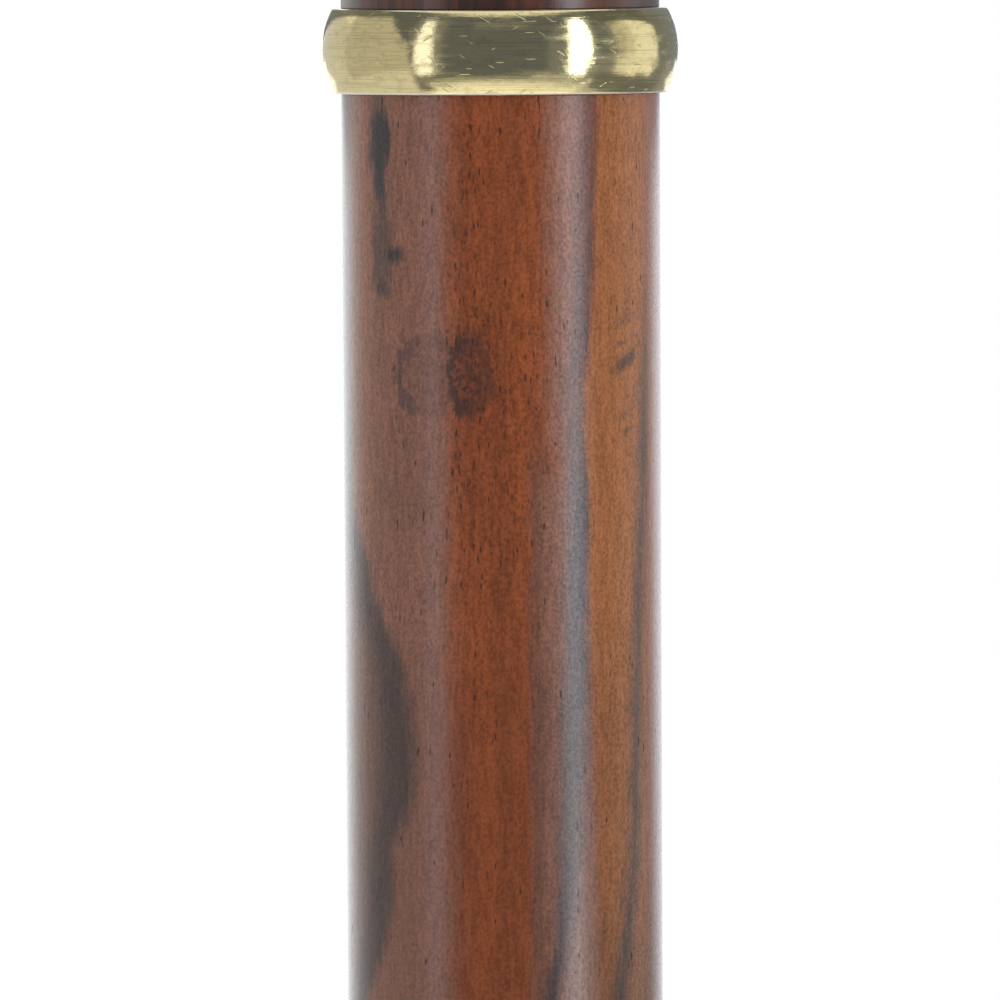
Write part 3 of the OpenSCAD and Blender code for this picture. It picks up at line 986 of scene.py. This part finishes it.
def ferrule_profile(sizes):
    """Ringed sole, rounded foot, hollow flare, grooved sleeve and bead outside, then the bore inside.

    The flare is an arc that leaves the sleeve upright and ends at the foot's side. The sleeve's radius
    falls evenly up to the bead, which is an arc that starts where it stands out of the sleeve.
    """
    mouth_r = shaft_radius(sizes, FERRULE_HIGH.z) + sizes.bore_gap
    sleeve_top_r = mouth_r + sizes.sleeve_wall
    sleeve_low_r = sleeve_top_r + sizes.sleeve_swell
    foot_r = FERRULE_HIGH.x
    flare_r = sleeve_low_r + sizes.flare_radius
    flare_run = flare_r - foot_r
    flare_z = sizes.foot_height + math.sqrt(sizes.flare_radius**2 - flare_run**2)
    flare_turn = math.degrees(math.acos(flare_run / sizes.flare_radius))
    bead_z = FERRULE_HIGH.z - sizes.bead_radius
    bead_r = sleeve_top_r + sizes.bead_proud - sizes.bead_radius
    bead_turn = math.degrees(math.acos((sleeve_top_r - bead_r) / sizes.bead_radius))

    def sleeve_r(z):
        share = (z - flare_z) / (bead_z - flare_z)
        return sleeve_low_r + (sleeve_top_r - sleeve_low_r) * share

    treads = []
    for ring in reversed(range(sizes.tread_count)):
        treads += tread_ring(sizes, sizes.tread_radius - ring * sizes.tread_pitch)
    grips = []
    for groove in reversed(range(sizes.grip_count)):
        middle = bead_z - sizes.bead_radius - sizes.grip_pitch - groove * sizes.grip_pitch
        grips += grip_groove(sizes, middle, sleeve_top_r - sizes.grip_depth, sleeve_r(middle))
    edge_r = sizes.foot_edge_radius
    washer_r = WASHER_HIGH.x + sizes.washer_gap
    return outline(
        (0.0, 0.0),
        *treads,
        arc(foot_r - edge_r, edge_r, edge_r, -90.0, 0.0, steps=10),
        (foot_r, sizes.foot_height - sizes.edge_ease),
        arc(flare_r, flare_z, sizes.flare_radius, 180.0 + flare_turn, 180.0, steps=24),
        *grips,
        arc(bead_r, bead_z, sizes.bead_radius, -bead_turn, 90.0, steps=24),
        (mouth_r + sizes.mouth_bevel, FERRULE_HIGH.z),
        (mouth_r, FERRULE_HIGH.z - sizes.mouth_bevel),
        (shaft_radius(sizes, TIP_Z) + sizes.bore_gap, TIP_Z),
        (washer_r, TIP_Z),
        (washer_r, WASHER_LOW.z),
        (0.0, WASHER_LOW.z),
    )


def washer_profile(sizes):
    """Flat disc with a bevel on both edges."""
    r = WASHER_HIGH.x
    bevel = sizes.washer_bevel
    return outline(
        (0.0, WASHER_LOW.z),
        (r - bevel, WASHER_LOW.z),
        (r, WASHER_LOW.z + bevel),
        (r, WASHER_HIGH.z - bevel),
        (r - bevel, WASHER_HIGH.z),
        (0.0, WASHER_HIGH.z),
    )


def stage_mesh(name, vertices, quads, material):
    """Adds a mesh that belongs to the studio and not to the stick."""
    mesh = bpy.data.meshes.new(name)
    mesh.from_pydata(vertices.tolist(), [], quads.tolist())
    mesh.materials.append(material)
    made = bpy.data.objects.new(name, mesh)
    bpy.context.scene.collection.objects.link(made)
    return made


def glow(name, level):
    """Even light of one linear colour from a card."""
    material, paint = new_material(name)
    shader = paint.node("ShaderNodeEmission", None, {"Color": (*level, 1.0), "Strength": 1.0})
    paint.node("ShaderNodeOutputMaterial", None, {"Surface": shader})
    return material


def bent(edge, share):
    """Azimuths on a parabola through an edge's foot, middle and head, at shares from -1 to 1."""
    foot, middle, head = np.broadcast_to(edge, 3)
    return middle + (head - foot) / 2.0 * share + ((head + foot) / 2.0 - middle) * share**2


# Where the cards stand, as shares of the setup's card distance
CARD_SHARES = {
    "flag_inside": 0.097,
    "flag": 0.1,
    "near": 0.97,
    "glow": 0.985,
    "halo": 0.9885,
    "corner": 0.99,
    "far": 1.0,
    "valance": 1.02,
    "behind": 1.03,
    "sill_inside": 3.71,
    "sill": 3.75,
}

# Linear light that several dark cards share
DARK = (0.18, 0.19, 0.2)

# The edges are azimuths in degrees from the front: one number, or three at a bent edge's foot, middle
# and head. The elevations are degrees up from the collar's middle, and the level is linear light.
# A card that lights shines on matt surfaces too, and the others show only in reflections.
Card = namedtuple("Card", "name place left right elevations level lights", defaults=(False,))
STUDIO_CARDS = (
    Card("front", "far", (-60, -63.5, -106), (64, 62, 70), (-32, 48), (0.146, 0.165, 0.212)),
    Card("front_right", "behind", 58, (87, 82, 97), (-3, 48), (0.19, 0.21, 0.26)),
    Card("front_right_low", "behind", 58, (83, 82, 82), (-31, -3), (0.27, 0.29, 0.34)),
    Card("left_glow", "glow", -62, -38, (-29, 41), (0.25, 0.25, 0.28)),
    Card("right_glow", "glow", (45, 43, 49.5), (62.5, 65, 67), (-29, 41), (0.34, 0.36, 0.42)),
    Card("right_halo", "halo", (34, 31, 38), 50, (-29, 30), (0.23, 0.245, 0.29)),
    Card("front_bar", "near", -18.5, 19.5, (32, 37.5), (0.3, 0.3, 0.32)),
    Card("front_step_36", "behind", -66, 66, (-36.5, -32), (0.36, 0.36, 0.36)),
    Card("front_step_41", "behind", -66, 66, (-41, -36.5), (0.72, 0.72, 0.72)),
    Card("front_step_47", "behind", -66, 66, (-47, -41), (1.05, 1.05, 1.05)),
    Card("front_step_62", "behind", -66, 66, (-62, -47), (1.2, 1.2, 1.2)),
    Card("front_corner", "corner", (18, 28, 38), 62, (-33, -22), (0.6, 0.6, 0.62)),
    Card("left_panel", "behind", -122, -56, (-20, 36), (0.58, 0.57, 0.57)),
    Card("left_low", "behind", -122, -56, (-50, -20), (0.78, 0.78, 0.8)),
    Card("left_wedge", "near", (-69, -64, -62.5), (-52, -58, -59.5), (-46, -20), (0.22, 0.23, 0.25)),
    Card("left_valance", "valance", -180, (-132, -88, -56), (21, 48), DARK),
    Card("right_pane", "behind", 78, 90, (-4, 33), (0.61, 0.59, 0.55)),
    Card("right_pane_middle", "behind", 90, 98, (-4, 33), (0.75, 0.73, 0.69)),
    Card("right_pane_low", "behind", 78, 91, (-24, -4), (0.82, 0.82, 0.8)),
    Card("right_pane_right", "behind", 91, 126, (-24, -4), (1.02, 1.02, 1.0)),
    Card("right_valance", "valance", 70, 180, (28, 48), (0.14, 0.15, 0.165)),
    Card("right_valance_low", "valance", (122, 111.5, 95), 180, (16, 28), DARK),
    Card("right_low", "far", 70, 150, (-42, -22), (0.2, 0.21, 0.24)),
    Card("right_corner", "far", 104, 150, (-23, -18.5), (0.24, 0.25, 0.27)),
    Card("right_back", "far", (117, 123, 124), 137, (-22, 4), (0.24, 0.26, 0.3)),
    Card("right_sill", "sill", 137, 178, (-14, -4.8), (0.34, 0.35, 0.37)),
    Card("right_sill_low", "far", 137, 178, (-26, -12.5), (0.34, 0.35, 0.37)),
    Card("left_sill", "sill", -178, -120, (-14, -4.8), (0.74, 0.74, 0.75)),
    Card("left_sill_low", "far", -178, -120, (-50, -12.5), (0.74, 0.74, 0.75)),
    Card("right_corner_glow", "sill_inside", (145, 151, 160), 178, (-15, -4.8), (1.3, 1.3, 1.35)),
    Card("left_corner_glow", "sill_inside", -178, (-145, -151, -160), (-15, -4.8), (1.4, 1.4, 1.45)),
    Card("left_backdrop", "sill", -180, -138, (-4.8, 20), (1.66, 1.71, 1.73)),
    Card("right_backdrop", "sill", 143, 180, (-4.8, 20), (1.38, 1.5, 1.64)),
    Card("right_flag", "flag", 116.5, (160, 170, 178), (-3.4, 46), (0.22, 0.24, 0.28)),
    Card("right_flag_low", "flag", 116.5, 151, (-5.8, -3.4), (0.22, 0.24, 0.28)),
    Card("left_flag", "flag", (-160, -170, -176), -112, (-3.4, 18), (0.68, 0.68, 0.68)),
    Card("left_flag_low", "flag", -151, -112, (-5.8, -3.4), (0.68, 0.68, 0.68)),
    Card("left_back", "flag_inside", (-172, -157, -150), (-160, -131, -90), (1, 33), DARK),
    Card("left_strip", "near", (-60, -57, -56.3), (-47, -44.6, -49.4), (-27, 38), (1.45, 1.5, 1.7), True),
    Card("right_strip", "near", (49, 46.2, 53), (58.5, 61, 62.6), (-27, 37.5), (4.5, 4.9, 5.3), True),
)


def studio_card(card, distance):
    """Patch of a sphere about the collar, between two edges of azimuth and two elevations.

    A point at azimuth a and elevation e lies at distance times (cos e sin a, -cos e cos a, sin e).
    """
    share = np.linspace(-1.0, 1.0, CARD_ROWS)[:, None]
    elevation = np.radians(np.linspace(*card.elevations, CARD_ROWS))[:, None]
    across = np.linspace(0.0, 1.0, CARD_COLUMNS)[None, :]
    azimuth = np.radians(bent(card.left, share) * (1.0 - across) + bent(card.right, share) * across)
    x = distance * np.cos(elevation) * np.sin(azimuth)
    y = -distance * np.cos(elevation) * np.cos(azimuth)
    z = np.broadcast_to(COLLAR_MID_Z + distance * np.sin(elevation), azimuth.shape)
    vertices = np.stack((x, y, z), axis=-1).reshape(-1, 3)
    grid = np.arange(CARD_ROWS * CARD_COLUMNS).reshape(CARD_ROWS, CARD_COLUMNS)
    quads = np.stack((grid[:-1, :-1], grid[1:, :-1], grid[1:, 1:], grid[:-1, 1:]), axis=-1)
    made = stage_mesh(card.name, vertices, quads.reshape(-1, 4), glow(card.name, card.level))
    made.visible_camera = False
    made.visible_transmission = False
    made.visible_shadow = False
    made.visible_diffuse = card.lights
    return made


def studio_cards(setup):
    """Dark and bright cards whose reflections the brass and the lacquer show."""
    for card in STUDIO_CARDS:
        studio_card(card, CARD_SHARES[card.place] * setup.card_distance)


def studio_world(setup):
    """White to the camera and in reflections, and a soft even fill on matt surfaces."""
    world = bpy.data.worlds.new("studio")
    world.use_nodes = True
    bpy.context.scene.world = world
    paint = Paint(world.node_tree)
    camera = paint.node("ShaderNodeLightPath", output="Is Camera Ray")
    glossy = paint.node("ShaderNodeLightPath", output="Is Glossy Ray")
    through = paint.node("ShaderNodeLightPath", output="Is Transmission Ray")
    seen = camera.or_more(glossy).or_more(through)
    strength = setup.fill_level + seen * (1.0 - setup.fill_level)
    shader = paint.node("ShaderNodeBackground", None, {"Color": (1, 1, 1, 1), "Strength": strength})
    paint.node("ShaderNodeOutputWorld", None, {"Surface": shader})


def pale_floor(setup):
    """Flat disc under the sole, matt and pale, and clear when it is seen from below."""
    material, paint = new_material("floor")
    behind = paint.node("ShaderNodeNewGeometry", output="Backfacing")
    matt = paint.node("ShaderNodeBsdfDiffuse", None, {"Color": setup.floor})
    clear = paint.node("ShaderNodeBsdfTransparent")
    shader = paint.node("ShaderNodeMixShader", None, {0: behind, 1: matt, 2: clear})
    paint.node("ShaderNodeOutputMaterial", None, {"Surface": shader})
    angle = np.linspace(0.0, 2.0 * np.pi, FLOOR_SIDES, endpoint=False)
    rim = setup.floor_radius * np.column_stack((np.cos(angle), np.sin(angle), 0.0 * angle))
    return stage_mesh("floor", rim, np.arange(FLOOR_SIDES)[None, :], material)


def photo_camera(setup):
    """Long lens in front of the stick, a little above the collar, rolled by the stick's lean."""
    data = bpy.data.cameras.new("camera")
    data.lens = setup.focal_length
    data.clip_end = 100.0
    distance = setup.view_width * data.lens / data.sensor_width
    aim = Vector((-setup.view_shift, 0.0, COLLAR_MID_Z - setup.view_drop))
    eye = Vector((aim.x, -distance, COLLAR_MID_Z + distance * math.tan(setup.camera_rise)))
    turn = (aim - eye).to_track_quat("-Z", "Y").to_matrix().to_4x4()
    roll = Matrix.Rotation(setup.camera_roll, 4, "Z")
    camera = bpy.data.objects.new("camera", data)
    camera.matrix_world = Matrix.Translation(eye) @ turn @ roll
    bpy.context.scene.collection.objects.link(camera)
    bpy.context.scene.camera = camera
    return camera


class STICK_OT_shaft(bpy.types.Operator):
    """Turn the tapered hardwood shaft"""

    bl_idname = "stick.shaft"
    bl_label = "Shaft"

    def execute(self, context):
        profile = shaft_profile(context.scene.stick_sizes)
        material = shaft_wood(context.scene.stick_finish)
        add_piece("lacquered_shaft", "shaft", turned(profile, turns=256), material)
        return {"FINISHED"}


class STICK_OT_knob(bpy.types.Operator):
    """Turn the hardwood knob"""

    bl_idname = "stick.knob"
    bl_label = "Knob"

    def execute(self, context):
        profile = knob_profile(context.scene.stick_sizes)
        material = knob_wood(context.scene.stick_finish)
        add_piece("turned_knob", "knob", turned(profile, turns=256), material)
        return {"FINISHED"}


class STICK_OT_collar(bpy.types.Operator):
    """Turn the domed brass collar"""

    bl_idname = "stick.collar"
    bl_label = "Collar"

    def execute(self, context):
        profile = collar_profile(context.scene.stick_sizes)
        material = collar_brass(context.scene.stick_finish)
        surface = turned(profile, turns=288, ring=True)
        add_piece("brass_collar", "collar", surface, material)
        return {"FINISHED"}


class STICK_OT_stud(bpy.types.Operator):
    """Cut the thread of the joining stud"""

    bl_idname = "stick.stud"
    bl_label = "Joining stud"

    def execute(self, context):
        surface = stud_surface(context.scene.stick_sizes)
        material = bright_steel("stud_steel", context.scene.stick_finish)
        add_piece("threaded_stud", "joining_stud", surface, material)
        return {"FINISHED"}


class STICK_OT_ferrule(bpy.types.Operator):
    """Mould the rubber ferrule"""

    bl_idname = "stick.ferrule"
    bl_label = "Ferrule"

    def execute(self, context):
        profile = ferrule_profile(context.scene.stick_sizes)
        material = ferrule_rubber(context.scene.stick_finish)
        add_piece("rubber_ferrule", "ferrule", turned(profile, turns=192), material)
        return {"FINISHED"}


class STICK_OT_washer(bpy.types.Operator):
    """Lay the steel washer in the ferrule"""

    bl_idname = "stick.washer"
    bl_label = "Ferrule washer"

    def execute(self, context):
        profile = washer_profile(context.scene.stick_sizes)
        material = bright_steel("washer_steel", context.scene.stick_finish)
        add_piece("steel_washer", "ferrule_washer", turned(profile, turns=96), material)
        return {"FINISHED"}


class STICK_OT_stage(bpy.types.Operator):
    """Set the camera, floor, world and studio cards"""

    bl_idname = "stick.stage"
    bl_label = "Stage"

    def execute(self, context):
        setup = context.scene.stick_stage
        photo_camera(setup)
        pale_floor(setup)
        studio_world(setup)
        studio_cards(setup)
        context.scene.view_settings.view_transform = "Standard"
        return {"FINISHED"}


class STICK_PT_panel(bpy.types.Panel):
    """Steps that dress the stick, with the values they use"""

    bl_idname = "STICK_PT_panel"
    bl_label = "Walking stick"
    bl_space_type = "VIEW_3D"
    bl_region_type = "UI"
    bl_category = "Walking stick"

    def draw(self, context):
        for operator in OPERATORS:
            self.layout.operator(operator.bl_idname)
        for group in (context.scene.stick_sizes, context.scene.stick_finish, context.scene.stick_stage):
            box = self.layout.box()
            for name in group.__annotations__:
                box.prop(group, name)


GROUPS = {"stick_sizes": StickSizes, "stick_finish": StickFinish, "stick_stage": StageSetup}
OPERATORS = (
    STICK_OT_stage,
    STICK_OT_shaft,
    STICK_OT_knob,
    STICK_OT_collar,
    STICK_OT_stud,
    STICK_OT_ferrule,
    STICK_OT_washer,
)


def register():
    """Adds the values to the scene, and the operators and their panel to the program."""
    for name, group in GROUPS.items():
        bpy.utils.register_class(group)
        setattr(bpy.types.Scene, name, bpy.props.PointerProperty(type=group))
    for kind in (*OPERATORS, STICK_PT_panel):
        bpy.utils.register_class(kind)


def unregister():
    """Takes them all away again."""
    for kind in reversed((*OPERATORS, STICK_PT_panel)):
        bpy.utils.unregister_class(kind)
    for name, group in GROUPS.items():
        delattr(bpy.types.Scene, name)
        bpy.utils.unregister_class(group)


def main():
    """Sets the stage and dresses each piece."""
    register()
    bpy.ops.stick.stage()
    bpy.ops.stick.shaft()
    bpy.ops.stick.knob()
    bpy.ops.stick.collar()
    bpy.ops.stick.stud()
    bpy.ops.stick.ferrule()
    bpy.ops.stick.washer()


if __name__ == "__main__":
    main()
